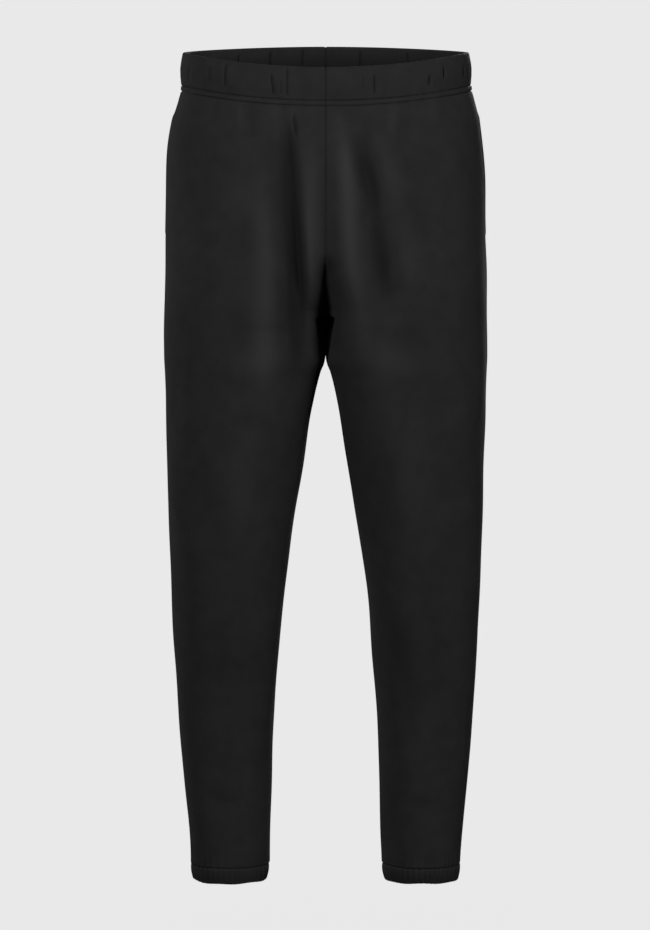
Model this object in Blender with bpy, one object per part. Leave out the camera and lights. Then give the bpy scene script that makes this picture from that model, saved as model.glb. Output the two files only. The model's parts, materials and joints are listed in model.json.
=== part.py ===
"""Jogger sweatpants, filled out as if worn, modelled as the pieces they are sewn from.

Frame: metres, +Z up. The front faces -Y and the wearer's left is +X. The origin is the middle of
the waist, halfway up the waistband at the sides, where a wearer holds the trousers up.

Each leg is a stack of ovals. Above the crotch an oval passes the centre plane and is cut there,
which draws the centre seams and the crotch curve. Below the crotch it closes at the inseam.
A point of the cloth has an angle round its oval (0 at the side seam, 90 degrees at the middle of
the front, 180 at the inseam, negative at the back) and a level, its height at the side seam.
"""

import math
from collections import namedtuple

import bmesh
import bpy
from mathutils import Vector

# ---- Driving dimensions ----
CLOTH = 0.002              # wall of the brushed fleece
SEAM_GAP = 0.0003          # between two pieces that are sewn together
BAND_WALL = 0.0045         # waistband: two layers of cloth with the elastic between
CASING_WALL = 0.0035       # ankle casing: the same, with thinner elastic
FACING_WALL = 0.0015       # single layer behind the pocket mouth
BAND_TOP = 0.0215          # at the side
WAIST_SEAM = -0.0175       # at the side
CROTCH = -0.285
ANKLE_SEAM = -0.962
HEM = -0.981
FRONT_DROOP = -0.017       # the waist dips at the centre front
BACK_RISE = 0.006          # and stands higher at the centre back
DROOP_END = -0.20          # level from which the rows lie flat
OUTER_EXPONENT = 2.15      # of the ovals' outer halves: 2 is an ellipse, more is squarer
MOUTH_TOP = -0.050         # side pocket mouth, a slit in the side seam
MOUTH_BOTTOM = -0.200
MOUTH_GAPE = 0.004
FACING_BOTTOM = -0.22

# ---- How finely the pieces are faceted ----
HIP_ROWS = 14
LEG_ROWS = 16
COLUMNS = 12
BAND_COLUMNS = 20
CASING_COLUMNS = 26
FACING_COLUMNS = 3         # of the front panel's points

# ---- Sections: outer and inner are reaches from the centre plane, front and back from y = 0,
# ---- and exponent is that of the oval's inner half, squarest where the thighs lie side by side ----
Section = namedtuple("Section", "level outer inner front back exponent")
SECTIONS = (
    Section(0.0215, 0.1715, -0.1715, 0.093, 0.092, 2.15),
    Section(0.0000, 0.1740, -0.1740, 0.096, 0.095, 2.15),
    Section(-0.0175, 0.1742, -0.1742, 0.097, 0.097, 2.15),
    Section(-0.0350, 0.1785, -0.1785, 0.102, 0.103, 2.15),
    Section(-0.0600, 0.1848, -0.1848, 0.109, 0.110, 2.15),
    Section(-0.1000, 0.1890, -0.1850, 0.115, 0.121, 2.20),
    Section(-0.1500, 0.1915, -0.1500, 0.118, 0.131, 2.40),
    Section(-0.2000, 0.1930, -0.0950, 0.119, 0.135, 2.80),
    Section(-0.2400, 0.1941, -0.0380, 0.118, 0.132, 3.20),
    Section(-0.2650, 0.1947, -0.0125, 0.116, 0.126, 3.35),
    Section(-0.2780, 0.1949, -0.0035, 0.115, 0.122, 3.40),
    Section(-0.2850, 0.1950, 0.0003, 0.114, 0.120, 3.40),
    Section(-0.3450, 0.1952, 0.0006, 0.109, 0.106, 3.20),
    Section(-0.3620, 0.1946, 0.0062, 0.107, 0.102, 3.00),
    Section(-0.4100, 0.1933, 0.0168, 0.102, 0.091, 2.70),
    Section(-0.4600, 0.1917, 0.0250, 0.096, 0.082, 2.40),
    Section(-0.5200, 0.1900, 0.0348, 0.088, 0.071, 2.20),
    Section(-0.5800, 0.1880, 0.0441, 0.079, 0.062, 2.10),
    Section(-0.6500, 0.1853, 0.0521, 0.069, 0.062, 2.10),
    Section(-0.7000, 0.1832, 0.0568, 0.062, 0.066, 2.10),
    Section(-0.7500, 0.1802, 0.0605, 0.056, 0.068, 2.10),
    Section(-0.8000, 0.1766, 0.0630, 0.052, 0.065, 2.10),
    Section(-0.8700, 0.1710, 0.0658, 0.049, 0.056, 2.10),
    Section(-0.9470, 0.1648, 0.0686, 0.048, 0.049, 2.10),
    Section(-0.9620, 0.1635, 0.0692, 0.048, 0.048, 2.10),
    Section(-0.9810, 0.1610, 0.0720, 0.045, 0.045, 2.10),
)

# ---- The largest folds: a path of (angle in degrees, level), its half width and its depth ----
Fold = namedtuple("Fold", "side path width depth")
FOLDS = (
    Fold("right", ((75, -0.09), (81, -0.14), (89, -0.19), (126, -0.277), (134, -0.340)), 0.018, -0.0040),
    Fold("left", ((77, -0.085), (76, -0.163), (81, -0.20), (93, -0.247)), 0.018, -0.0030),
    Fold("left", ((85, -0.11), (87, -0.165), (96, -0.21)), 0.018, 0.0020),
    Fold("left", ((-150, -0.305), (-105, -0.325), (-60, -0.318)), 0.018, -0.0035),
    Fold("right", ((-150, -0.300), (-110, -0.318), (-65, -0.328)), 0.018, -0.0040),
    Fold("left", ((-120, -0.575), (-90, -0.590), (-55, -0.580)), 0.020, -0.0030),
    Fold("right", ((-125, -0.590), (-88, -0.578), (-50, -0.592)), 0.020, -0.0030),
)

FLEECE = (0.0144, 0.0144, 0.0148)
FLEECE_ROUGHNESS = 0.9


def smooth(level, column):
    """Read one column of SECTIONS at a level, on a curve that never overshoots its rows."""
    rows = SECTIONS
    level = min(max(level, rows[-1].level), rows[0].level)
    index = 0
    while index < len(rows) - 2 and rows[index + 1].level > level:
        index += 1

    def slope_between(i):
        run = rows[i + 1].level - rows[i].level
        return (getattr(rows[i + 1], column) - getattr(rows[i], column)) / run

    def slope_at(i):
        if i in (0, len(rows) - 1):
            return slope_between(min(i, len(rows) - 2))
        before, after = slope_between(i - 1), slope_between(i)
        if before * after <= 0:
            return 0.0
        return 2 * before * after / (before + after)

    low, high = rows[index], rows[index + 1]
    run = high.level - low.level
    t = (level - low.level) / run
    start, end = getattr(low, column), getattr(high, column)
    return (start * (1 + 2 * t) * (1 - t) ** 2 + end * t * t * (3 - 2 * t)
            + run * slope_at(index) * t * (1 - t) ** 2 + run * slope_at(index + 1) * t * t * (t - 1))


def droop(angle, level):
    """Height that a row gains or loses away from the side: most at the waist, none at DROOP_END."""
    fade = min(max((level - DROOP_END) / (WAIST_SEAM - DROOP_END), 0.0), 1.0)
    full = FRONT_DROOP if angle > 0 else BACK_RISE
    return full * math.sin(angle) ** 2 * fade * fade * (3 - 2 * fade)


def depth_of(level):
    """Half the oval's size from front to back."""
    return (smooth(level, "front") + smooth(level, "back")) / 2


def oval(angle, level):
    """Point of the wearer's left leg before any fold, on a superellipse read by its polar angle."""
    outer, inner = smooth(level, "outer"), smooth(level, "inner")
    power = OUTER_EXPONENT if math.cos(angle) > 0 else smooth(level, "exponent")
    swell = (abs(math.cos(angle)) ** power + abs(math.sin(angle)) ** power) ** (-1 / power)
    middle = (smooth(level, "back") - smooth(level, "front")) / 2
    return Vector((
        (outer + inner) / 2 + (outer - inner) / 2 * math.cos(angle) * swell,
        middle - depth_of(level) * math.sin(angle) * swell,
        level + droop(angle, level),
    ))


def outward(angle, level):
    """Unit normal of the leg, from the slopes round the oval and down the leg."""
    step = 0.001
    around = oval(angle + step, level) - oval(angle - step, level)
    down = oval(angle, level - step) - oval(angle, level + step)
    return around.cross(down).normalized()


def fold_offset(side, angle, level):
    """Sum of the folds of one side: each a bell curve of the distance to its path."""
    girth = depth_of(level)
    total = 0.0
    for fold in FOLDS:
        if fold.side != side:
            continue
        point = Vector((angle * girth, level))
        path = [Vector((math.radians(degrees) * girth, height)) for degrees, height in fold.path]
        nearest = min(distance_to_run(point, a, b) for a, b in zip(path, path[1:]))
        total += fold.depth * math.exp(-(nearest / fold.width) ** 2)
    return total


def distance_to_run(point, start, end):
    """Distance in the plane from a point to the straight run between two others."""
    run = end - start
    along = min(max((point - start).dot(run) / run.length_squared, 0.0), 1.0)
    return (point - start - run * along).length


def cloth_point(side, angle, level, inset=0.0):
    """Point of either leg, folds included, moved in from the outer face by inset."""
    normal = outward(angle, level)
    point = oval(angle, level) + normal * (fold_offset(side, angle, level) - inset)
    point.x = max(point.x, SEAM_GAP / 2)
    return point if side == "left" else Vector((-point.x, point.y, point.z))


def inner_angle(level):
    """Angle at which the oval meets the centre plane, or the inseam where it doesn't."""
    inseam = math.pi - SEAM_GAP / 2 / depth_of(level)
    low, high = math.pi / 2, inseam
    if oval(high, level).x >= SEAM_GAP / 2:
        return inseam
    for _ in range(40):
        half = (low + high) / 2
        if oval(half, level).x > SEAM_GAP / 2:
            low = half
        else:
            high = half
    return low


def side_angle(level, face):
    """Angle of a panel's edge at the side seam: the front one draws back at the pocket mouth."""
    edge = SEAM_GAP / 2
    along = (level - MOUTH_TOP) / (MOUTH_BOTTOM - MOUTH_TOP)
    if face == "front" and 0 < along < 1:
        edge += MOUTH_GAPE * math.sin(math.pi * along) ** 0.8
    return edge / depth_of(level)


def panel_rows(face):
    """Rows of a panel as (angle, level) places, each from the panel's inner edge to its side seam.

    Above the crotch the rows fan out: evenly spaced at the side seam, and closer together down the
    centre seam, whose lower end turns under the body along the crotch curve.
    """
    top = WAIST_SEAM - SEAM_GAP
    rise, inseam = top - CROTCH, CROTCH - ANKLE_SEAM
    hip = []
    for i in range(HIP_ROWS):
        left = 1 - i / HIP_ROWS
        hip.append((CROTCH + rise * left, CROTCH + rise * left ** 2))
    leg = [(CROTCH - inseam * i / LEG_ROWS,) * 2 for i in range(LEG_ROWS + 1)]
    sign = 1 if face == "front" else -1
    rows = []
    for side_level, inner_level in hip + leg:
        end = side_angle(side_level, face)
        row = []
        for column in range(COLUMNS + 1):
            share = column / COLUMNS
            level = inner_level + (side_level - inner_level) * share
            start = inner_angle(level)
            row.append((sign * (start + (end - start) * share), level))
        rows.append(row)
    return rows


def add_object(name, vertices, faces):
    """Make a named, smooth-shaded mesh object with its own fleece material."""
    mesh = bpy.data.meshes.new(name)
    mesh.from_pydata([tuple(vertex) for vertex in vertices], [], faces)
    shape = bmesh.new()
    shape.from_mesh(mesh)
    bmesh.ops.recalc_face_normals(shape, faces=shape.faces)
    shape.to_mesh(mesh)
    shape.free()
    mesh.shade_smooth()
    mesh.set_sharp_from_angle(angle=math.radians(50))
    mesh.materials.append(fleece(name))
    piece = bpy.data.objects.new(name, mesh)
    trousers.objects.link(piece)
    return piece


def fleece(name):
    """Brushed cotton fleece, near black and matt."""
    material = bpy.data.materials.new(name + "_fleece")
    material.use_nodes = True
    shader = material.node_tree.nodes["Principled BSDF"]
    shader.inputs["Base Color"].default_value = (*FLEECE, 1)
    shader.inputs["Roughness"].default_value = FLEECE_ROUGHNESS
    shader.inputs["Metallic"].default_value = 0.0
    return material


def wall(name, outer, inner):
    """Closed wall between two grids of points of the same size, an outer and an inner face."""
    rows, columns = len(outer), len(outer[0])
    vertices = [point for grid in (outer, inner) for row in grid for point in row]

    def at(layer, row, column):
        return (layer * rows + row) * columns + column

    faces = []
    for row in range(rows - 1):
        for column in range(columns - 1):
            for layer in (0, 1):
                quad = [at(layer, row, column), at(layer, row, column + 1),
                        at(layer, row + 1, column + 1), at(layer, row + 1, column)]
                faces.append(quad if layer else quad[::-1])
        for column in (0, columns - 1):
            faces.append([at(0, row, column), at(1, row, column),
                          at(1, row + 1, column), at(0, row + 1, column)])
    for column in range(columns - 1):
        for row in (0, rows - 1):
            faces.append([at(0, row, column), at(1, row, column),
                          at(1, row, column + 1), at(0, row, column + 1)])
    return add_object(name, vertices, faces)


def hoop(name, sections, closed):
    """Solid swept through a list of closed cross-sections, round to its start or capped."""
    count, size = len(sections), len(sections[0])
    vertices = [point for section in sections for point in section]
    faces = []
    for i in range(count if closed else count - 1):
        for j in range(size):
            a, b = i * size, (i + 1) % count * size
            faces.append([a + j, a + (j + 1) % size, b + (j + 1) % size, b + j])
    if not closed:
        faces.append(list(range(size)))
        faces.append([(count - 1) * size + j for j in range(size)])
    return add_object(name, vertices, faces)


def layer(side, rows, inset=0.0):
    """Points of the cloth at rows of (angle, level) places."""
    return [[cloth_point(side, angle, level, inset) for angle, level in row] for row in rows]


def leg_panel(face, side):
    """Front or back of one leg in one piece, from the waist seam to the ankle seam."""
    rows = panel_rows(face)
    return wall(f"{face}_{side}", layer(side, rows), layer(side, rows, CLOTH))


def casing_section(side, angle, seam, free, thickness):
    """Cross-section of a folded casing: flat at its seam and half round at its free edge."""
    radius = thickness / 2
    toward = 1 if free > seam else -1
    straight = [seam, (seam + free) / 2, free - toward * radius]
    section = [(level, 0.0) for level in straight]
    for quarter in (45, 90, 135):
        turn = math.radians(quarter)
        section.append((free - toward * radius * (1 - math.sin(turn)), radius * (1 - math.cos(turn))))
    section += [(level, thickness) for level in reversed(straight)]
    return [cloth_point(side, angle, level, inset) for level, inset in section]


def waistband(side):
    """Half of the waistband, from the centre front seam round the side to the centre back seam."""
    edge = inner_angle(0.0)
    angles = [edge - 2 * edge * i / BAND_COLUMNS for i in range(BAND_COLUMNS + 1)]
    sections = [casing_section(side, angle, WAIST_SEAM, BAND_TOP, BAND_WALL) for angle in angles]
    return hoop(f"waistband_{side}", sections, closed=False)


def ankle_casing(side):
    """Gathered band at the ankle, a whole ring below the leg."""
    angles = [math.pi - 2 * math.pi * i / CASING_COLUMNS for i in range(CASING_COLUMNS)]
    top = ANKLE_SEAM - SEAM_GAP
    sections = [casing_section(side, angle, top, HEM, CASING_WALL) for angle in angles]
    return hoop(f"ankle_casing_{side}", sections, closed=True)


def pocket_facing(side):
    """Strip of cloth inside the leg that closes the view through the pocket mouth.

    It hangs from the waist seam and follows the points of both panels, moved in.
    """
    rows = []
    for front_row, back_row in zip(panel_rows("front"), panel_rows("back")):
        if front_row[-1][1] < FACING_BOTTOM:
            break
        rows.append(front_row[-FACING_COLUMNS:] + back_row[:-3:-1])
    inset = CLOTH + 2 * SEAM_GAP
    return wall(f"pocket_facing_{side}", layer(side, rows, inset), layer(side, rows, inset + FACING_WALL))


for old in list(bpy.data.objects):
    bpy.data.objects.remove(old, do_unlink=True)

trousers = bpy.data.collections.new("Jogger sweatpants")
bpy.context.scene.collection.children.link(trousers)

for wearer_side in ("left", "right"):
    for panel_face in ("front", "back"):
        leg_panel(panel_face, wearer_side)
    waistband(wearer_side)
    ankle_casing(wearer_side)
    pocket_facing(wearer_side)
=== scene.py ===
# %% [markdown]
# # Jogger sweatpants, filled out as if worn
#
# The trousers are sewn from a front and a back panel for each leg, a waistband in two halves and a
# gathered casing at each ankle. This lesson makes each of those pieces as a thin shell of brushed
# fleece, at its real size, in metres. The front faces -Y and the wearer's left is +X.

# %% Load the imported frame
import json
import math

import bpy
import numpy as np
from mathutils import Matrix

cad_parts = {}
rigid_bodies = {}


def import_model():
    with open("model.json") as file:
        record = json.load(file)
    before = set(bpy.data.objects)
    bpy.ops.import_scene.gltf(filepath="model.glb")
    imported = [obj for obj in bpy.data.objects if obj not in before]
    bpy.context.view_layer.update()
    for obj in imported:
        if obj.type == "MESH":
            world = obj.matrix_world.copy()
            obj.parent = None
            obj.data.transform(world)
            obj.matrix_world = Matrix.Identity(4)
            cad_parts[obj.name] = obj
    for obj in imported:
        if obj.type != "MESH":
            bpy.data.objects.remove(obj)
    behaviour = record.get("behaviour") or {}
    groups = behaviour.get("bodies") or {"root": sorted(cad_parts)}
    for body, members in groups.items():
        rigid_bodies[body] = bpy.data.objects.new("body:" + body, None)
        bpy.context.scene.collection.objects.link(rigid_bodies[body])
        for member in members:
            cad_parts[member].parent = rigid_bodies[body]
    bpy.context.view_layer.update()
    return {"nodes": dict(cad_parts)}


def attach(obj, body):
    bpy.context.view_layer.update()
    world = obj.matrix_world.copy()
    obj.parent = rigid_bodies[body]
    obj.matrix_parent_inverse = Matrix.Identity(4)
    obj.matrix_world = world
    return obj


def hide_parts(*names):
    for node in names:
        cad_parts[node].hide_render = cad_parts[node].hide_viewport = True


for old in list(bpy.data.objects):
    bpy.data.objects.remove(old, do_unlink=True)

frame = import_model()
print("nodes:", sorted(frame["nodes"]))

# %% [markdown]
# ## The form of a leg
#
# A leg could be sculpted, but a stack of ovals is easier to keep true to size: each row of the table
# says how far one oval reaches at a level, in metres. Above the crotch an oval passes the centre
# plane and is cut there, which draws the centre seams. A cubic that never overshoots joins the
# rows, because a plain spline would bulge between them.

# %% Ovals of the leg
SECTION_COLUMNS = ("level", "outer", "inner", "front", "back", "exponent")
SECTION_ROWS = np.array((
    (-0.9810, 0.1610, 0.0720, 0.045, 0.045, 2.10),
    (-0.9620, 0.1635, 0.0692, 0.048, 0.048, 2.10),
    (-0.9470, 0.1648, 0.0686, 0.048, 0.049, 2.10),
    (-0.8700, 0.1710, 0.0658, 0.049, 0.056, 2.10),
    (-0.8000, 0.1766, 0.0630, 0.052, 0.065, 2.10),
    (-0.7500, 0.1802, 0.0605, 0.056, 0.068, 2.10),
    (-0.7000, 0.1832, 0.0568, 0.062, 0.066, 2.10),
    (-0.6500, 0.1853, 0.0521, 0.069, 0.062, 2.10),
    (-0.5800, 0.1880, 0.0441, 0.079, 0.062, 2.10),
    (-0.5200, 0.1900, 0.0348, 0.088, 0.071, 2.20),
    (-0.4600, 0.1917, 0.0250, 0.096, 0.082, 2.40),
    (-0.4100, 0.1933, 0.0168, 0.102, 0.091, 2.70),
    (-0.3620, 0.1946, 0.0062, 0.107, 0.102, 3.00),
    (-0.3450, 0.1952, 0.0006, 0.109, 0.106, 3.20),
    (-0.2850, 0.1950, 0.0003, 0.114, 0.120, 3.40),
    (-0.2780, 0.1949, -0.0035, 0.115, 0.122, 3.40),
    (-0.2650, 0.1947, -0.0125, 0.116, 0.126, 3.35),
    (-0.2400, 0.1941, -0.0380, 0.118, 0.132, 3.20),
    (-0.2000, 0.1930, -0.0950, 0.119, 0.135, 2.80),
    (-0.1500, 0.1915, -0.1500, 0.118, 0.131, 2.40),
    (-0.1000, 0.1890, -0.1850, 0.115, 0.121, 2.20),
    (-0.0600, 0.1848, -0.1848, 0.109, 0.110, 2.15),
    (-0.0350, 0.1785, -0.1785, 0.102, 0.103, 2.15),
    (-0.0175, 0.1742, -0.1742, 0.097, 0.097, 2.15),
    (0.0000, 0.1740, -0.1740, 0.096, 0.095, 2.15),
    (0.0215, 0.1715, -0.1715, 0.093, 0.092, 2.15),
))
SECTION = dict(zip(SECTION_COLUMNS, SECTION_ROWS.T))
OUTER_EXPONENT = 2.15
BAND_TOP, WAIST_SEAM, CROTCH, ANKLE_SEAM, HEM = 0.0215, -0.0175, -0.285, -0.962, -0.981
FRONT_DROOP, BACK_RISE, DROOP_END = -0.017, 0.006, -0.20
CLOTH = 0.002


def row_slopes(levels, values):
    """Slope of the curve at each row: the harmonic mean of the slopes beside it, or 0 at a turn."""
    slopes = np.diff(values) / np.diff(levels)
    before, after = slopes[:-1], slopes[1:]
    same_way = before * after > 0
    total = np.where(same_way, before + after, 1.0)
    middle = np.where(same_way, 2 * before * after / total, 0.0)
    return np.concatenate((slopes[:1], middle, slopes[-1:]))


SLOPES = {name: row_slopes(SECTION["level"], values) for name, values in SECTION.items()}


def smooth(level, column):
    """Cubic through one column of the table, read at any array of levels."""
    levels, values, slopes = SECTION["level"], SECTION[column], SLOPES[column]
    level = np.clip(level, levels[0], levels[-1])
    i = np.clip(np.searchsorted(levels, level) - 1, 0, len(levels) - 2)
    run = levels[i + 1] - levels[i]
    t = (level - levels[i]) / run
    ends = values[i] * (1 + 2 * t) * (1 - t) ** 2 + values[i + 1] * t * t * (3 - 2 * t)
    bends = run * (slopes[i] * t * (1 - t) ** 2 + slopes[i + 1] * t * t * (t - 1))
    return ends + bends


def soft_step(value):
    """0 below 0, 1 above 1 and an S-curve between."""
    value = np.clip(value, 0, 1)
    return value * value * (3 - 2 * value)


def bell(distance, width):
    """1 at no distance, falling smoothly to nothing past twice the width."""
    return np.exp(-(distance / width) ** 2)


def droop(angle, level):
    """Height a row gains or loses away from the side: the square of the angle's sine, fading down."""
    fade = soft_step((level - DROOP_END) / (WAIST_SEAM - DROOP_END))
    return np.where(angle > 0, FRONT_DROOP, BACK_RISE) * np.sin(angle) ** 2 * fade


def half_depth(level):
    """Half an oval's size from front to back."""
    return (smooth(level, "front") + smooth(level, "back")) / 2


def oval(angle, level):
    """Point of the wearer's left leg: a superellipse read by its polar angle.

    The angle is 0 at the side seam, a quarter turn at the middle of the front and negative behind.
    """
    outer, inner = smooth(level, "outer"), smooth(level, "inner")
    power = np.where(np.cos(angle) > 0, OUTER_EXPONENT, smooth(level, "exponent"))
    across, along = np.abs(np.cos(angle)), np.abs(np.sin(angle))
    swell = (across ** power + along ** power) ** (-1 / power)
    middle = (smooth(level, "back") - smooth(level, "front")) / 2
    return np.stack((
        (outer + inner) / 2 + (outer - inner) / 2 * np.cos(angle) * swell,
        middle - half_depth(level) * np.sin(angle) * swell,
        level + droop(angle, level),
    ), axis=-1)


STEP = 0.001


def outward(angle, level):
    """Unit normal, from the cross product of the slopes, and the length of cloth in one radian."""
    around = oval(angle + STEP, level) - oval(angle - STEP, level)
    down = oval(angle, level - STEP) - oval(angle, level + STEP)
    normal = np.cross(around, down)
    return (normal / np.linalg.norm(normal, axis=-1, keepdims=True),
            np.linalg.norm(around, axis=-1) / (2 * STEP))


def inner_angle(level):
    """Angle where the oval meets the centre plane, found by halving, or the inseam where it doesn't."""
    low, high = np.full_like(level, np.pi / 2), np.full_like(level, np.pi)
    for _ in range(30):
        half = (low + high) / 2
        inside = oval(half, level)[..., 0] > 0
        low = np.where(inside, half, low)
        high = np.where(inside, high, half)
    return low


# %% [markdown]
# Lengths along the cloth are needed too, for seams, stitches and gathers. Adding up short chords
# round one level gives a table from angle to length, which works for any oval.

# %% Length of cloth round one level
def lengths_round(level, start=-np.pi, end=np.pi):
    """Angles from start to end, and the length of cloth from the side seam to each, with its sign."""
    angles = np.linspace(start, end, 2001)
    chords = np.linalg.norm(np.diff(oval(angles, np.full_like(angles, level)), axis=0), axis=1)
    lengths = np.concatenate(([0.0], np.cumsum(chords)))
    return angles, lengths - np.interp(0.0, angles, lengths)


half_band = float(inner_angle(np.array([0.0]))[0])
for name, level in (("waist", WAIST_SEAM), ("ankle", ANKLE_SEAM)):
    reach = half_band if name == "waist" else np.pi
    length = np.ptp(lengths_round(level, -reach, reach)[1]) * (2 if name == "waist" else 1)
    print(f"{name} {length * 1000:.0f} mm round")

# %% [markdown]
# ## Folds
#
# Fleece is thick, so it hangs in a few long soft troughs and shows hardly any sharp creases. Each
# fold is a smooth path on the front or the back. The cloth near it moves forwards or backwards by a
# bell curve of the distance to the path, and both ends fade away. Moved along the normal instead,
# a deep fold would kink where the cloth turns. A simulation could make folds as well, but
# listed ones go where they belong, and they are the same on every run.

# %% Fold table: face, half width and depth in mm, then the path as (x, z in mm, share of the depth)
FOLDS = (
    # the two long troughs from the waistband to the crotch, and the ridges beside them
    ("front", 14, -7, ((-48, -50, 0), (-50, -90, 0.5), (-48, -140, 0.8), (-44, -190, 1), (-40, -240, 1),
                       (-38, -290, 0.9), (-38, -335, 0.5), (-42, -390, 0))),
    ("front", 6, -9, ((-44, -60, 0), (-42, -95, 0.5), (-39, -140, 0.5), (-35, -190, 0.9), (-32, -240, 1),
                      (-30.5, -275, 0.6), (-30, -305, 0.5), (-31, -335, 0.3), (-34, -370, 0))),
    ("front", 12, 3.6, ((-18, -80, 0), (-18, -130, 0.8), (-19, -200, 1), (-19, -250, 0.6), (-18, -300, 0))),
    ("front", 20, 3.4, ((-76, -90, 0), (-74, -170, 0.6), (-72, -250, 1), (-74, -340, 1), (-76, -420, 0))),
    ("front", 13, -4, ((42, -60, 0), (47, -92, 0.6), (55, -130, 1), (62, -165, 0.7), (69, -205, 0.8),
                       (73, -240, 0.9), (76, -300, 0))),
    ("front", 5.5, -4, ((35, -70, 0), (39, -95, 0.6), (47, -125, 1), (55, -150, 0.7), (58, -170, 0.4),
                        (60, -195, 0.7), (65, -235, 0.9), (68, -280, 0))),
    ("front", 12, 7, ((20, -60, 0), (23, -110, 0.8), (26, -180, 1), (29, -230, 0.8), (40, -310, 0.3),
                        (44, -360, 0))),
    ("front", 12, 2.0, ((60, -60, 0), (63, -90, 0.9), (78, -132, 1), (88, -170, 0))),
    ("front", 22, 2.2, ((72, -240, 0), (68, -310, 1), (70, -380, 0.6), (78, -450, 0))),
    # gathers that die out below the waistband
    ("front", 6, 1.3, ((-104, -30, 0), (-103, -48, 1), (-102, -80, 0))),
    ("front", 6, -1.5, ((-90, -30, 0), (-89, -52, 1), (-86, -90, 0))),
    ("front", 7, 1.4, ((-62, -30, 0), (-61, -56, 1), (-60, -90, 0))),
    ("front", 7, -1.2, ((-128, -26, 0), (-130, -44, 1), (-132, -72, 0))),
    ("front", 6, 1.8, ((81, -30, 0), (80, -54, 1), (77, -92, 0))),
    ("front", 6, -1.3, ((100, -28, 0), (99, -46, 1), (97, -76, 0))),
    ("front", 6, 1.0, ((14, -36, 0), (15, -58, 1), (16, -92, 0))),
    ("front", 7, 1.1, ((127, -26, 0), (128, -44, 1), (130, -70, 0))),
    # soft bumps and hollows over the hips and thighs
    ("front", 16, 1.3, ((-112, -120, 0), (-108, -150, 1), (-120, -190, 0))),
    ("front", 15, -1.4, ((-96, -160, 0), (-100, -205, 1), (-92, -250, 0))),
    ("front", 16, -1.4, ((112, -110, 0), (108, -160, 1), (118, -215, 0))),
    ("front", 15, 1.3, ((100, -190, 0), (94, -225, 1), (104, -270, 0))),
    ("front", 13, -1.5, ((-26, -290, 0), (-70, -306, 1), (-126, -296, 0))),
    ("front", 13, -1.5, ((30, -300, 0), (80, -312, 1), (132, -298, 0))),
    ("front", 15, 1.3, ((-34, -338, 0), (-86, -352, 1), (-140, -342, 0))),
    ("front", 15, 1.3, ((36, -346, 0), (92, -354, 1), (142, -340, 0))),
    # thigh, knee and shin
    ("front", 20, 1.6, ((-96, -410, 0), (-100, -500, 1), (-94, -590, 0))),
    ("front", 20, 1.6, ((100, -400, 0), (98, -490, 1), (104, -580, 0))),
    ("front", 14, -1.6, ((-132, -600, 0), (-126, -700, 1), (-132, -790, 0))),
    ("front", 14, -1.6, ((136, -580, 0), (130, -680, 1), (134, -780, 0))),
    ("front", 14, -1.4, ((-90, -620, 0), (-98, -720, 1), (-106, -810, 0))),
    ("front", 14, -1.4, ((88, -630, 0), (96, -730, 1), (106, -830, 0))),
    ("front", 9, -1.4, ((-146, -866, 0), (-120, -880, 1), (-88, -872, 0))),
    ("front", 9, -1.4, ((148, -872, 0), (120, -884, 1), (90, -878, 0))),
    # seat: drag lines from the crotch to the hips, and gathers below the waistband
    ("back", 12, -4.5, ((-10, -258, 0), (-60, -276, 1), (-140, -254, 0))),
    ("back", 12, -4.0, ((12, -260, 0), (66, -280, 1), (144, -260, 0))),
    ("back", 12, -6.5, ((-8, -288, 0.2), (-66, -312, 1), (-160, -300, 0))),
    ("back", 12, -6.2, ((10, -292, 0.2), (70, -318, 1), (162, -304, 0))),
    ("back", 12, -3.4, ((-16, -326, 0), (-80, -348, 1), (-150, -344, 0))),
    ("back", 12, -3.6, ((18, -330, 0), (84, -354, 1), (148, -346, 0))),
    ("back", 14, -2.6, ((-98, -36, 0), (-92, -84, 1), (-74, -150, 0))),
    ("back", 14, -2.6, ((90, -34, 0), (84, -80, 1), (66, -146, 0))),
    ("back", 7, -1.6, ((-44, -14, 0), (-43, -42, 1), (-41, -84, 0))),
    ("back", 7, -1.6, ((50, -14, 0), (48, -44, 1), (45, -86, 0))),
    ("back", 7, 1.2, ((18, -12, 0), (19, -36, 1), (21, -70, 0))),
    ("back", 7, 1.3, ((-120, -20, 0), (-121, -44, 1), (-122, -78, 0))),
    ("back", 7, 1.3, ((124, -20, 0), (122, -42, 1), (119, -76, 0))),
    # hollow of the knee and back of the calf
    ("back", 9, -4.0, ((-58, -556, 0), (-112, -574, 1), (-170, -558, 0))),
    ("back", 9, -4.0, ((56, -562, 0), (114, -580, 1), (172, -564, 0))),
    ("back", 9, -5.0, ((-64, -594, 0), (-118, -604, 1), (-164, -596, 0))),
    ("back", 9, -4.8, ((66, -600, 0), (120, -610, 1), (166, -602, 0))),
    ("back", 9, -2.8, ((-74, -628, 0), (-116, -636, 1), (-152, -630, 0))),
    ("back", 9, -2.8, ((76, -634, 0), (118, -642, 1), (152, -634, 0))),
    ("back", 18, 1.8, ((-100, -390, 0), (-110, -460, 1), (-106, -540, 0))),
    ("back", 18, 1.8, ((104, -394, 0), (112, -470, 1), (108, -546, 0))),
    ("back", 9, -2.2, ((-84, -860, 0), (-116, -872, 1), (-150, -860, 0))),
    ("back", 9, -2.2, ((86, -866, 0), (118, -876, 1), (148, -866, 0))),
    ("back", 8, -1.6, ((-92, -904, 0), (-118, -910, 1), (-144, -902, 0))),
    ("back", 8, -1.6, ((90, -900, 0), (116, -908, 1), (142, -898, 0))),
)
MM = 0.001
PATH_POINTS = 48
FOLD_BOX = 4                     # a fold is worked out this many widths about its path
TROUGH_POWER = 1.25              # under 2, so that a trough is sharper at its bottom than a bell
LIP_PLACE, LIP_SHARE = 2.2, 0.2  # the lip beside a fold: its distance in widths, its share of the depth


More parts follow.
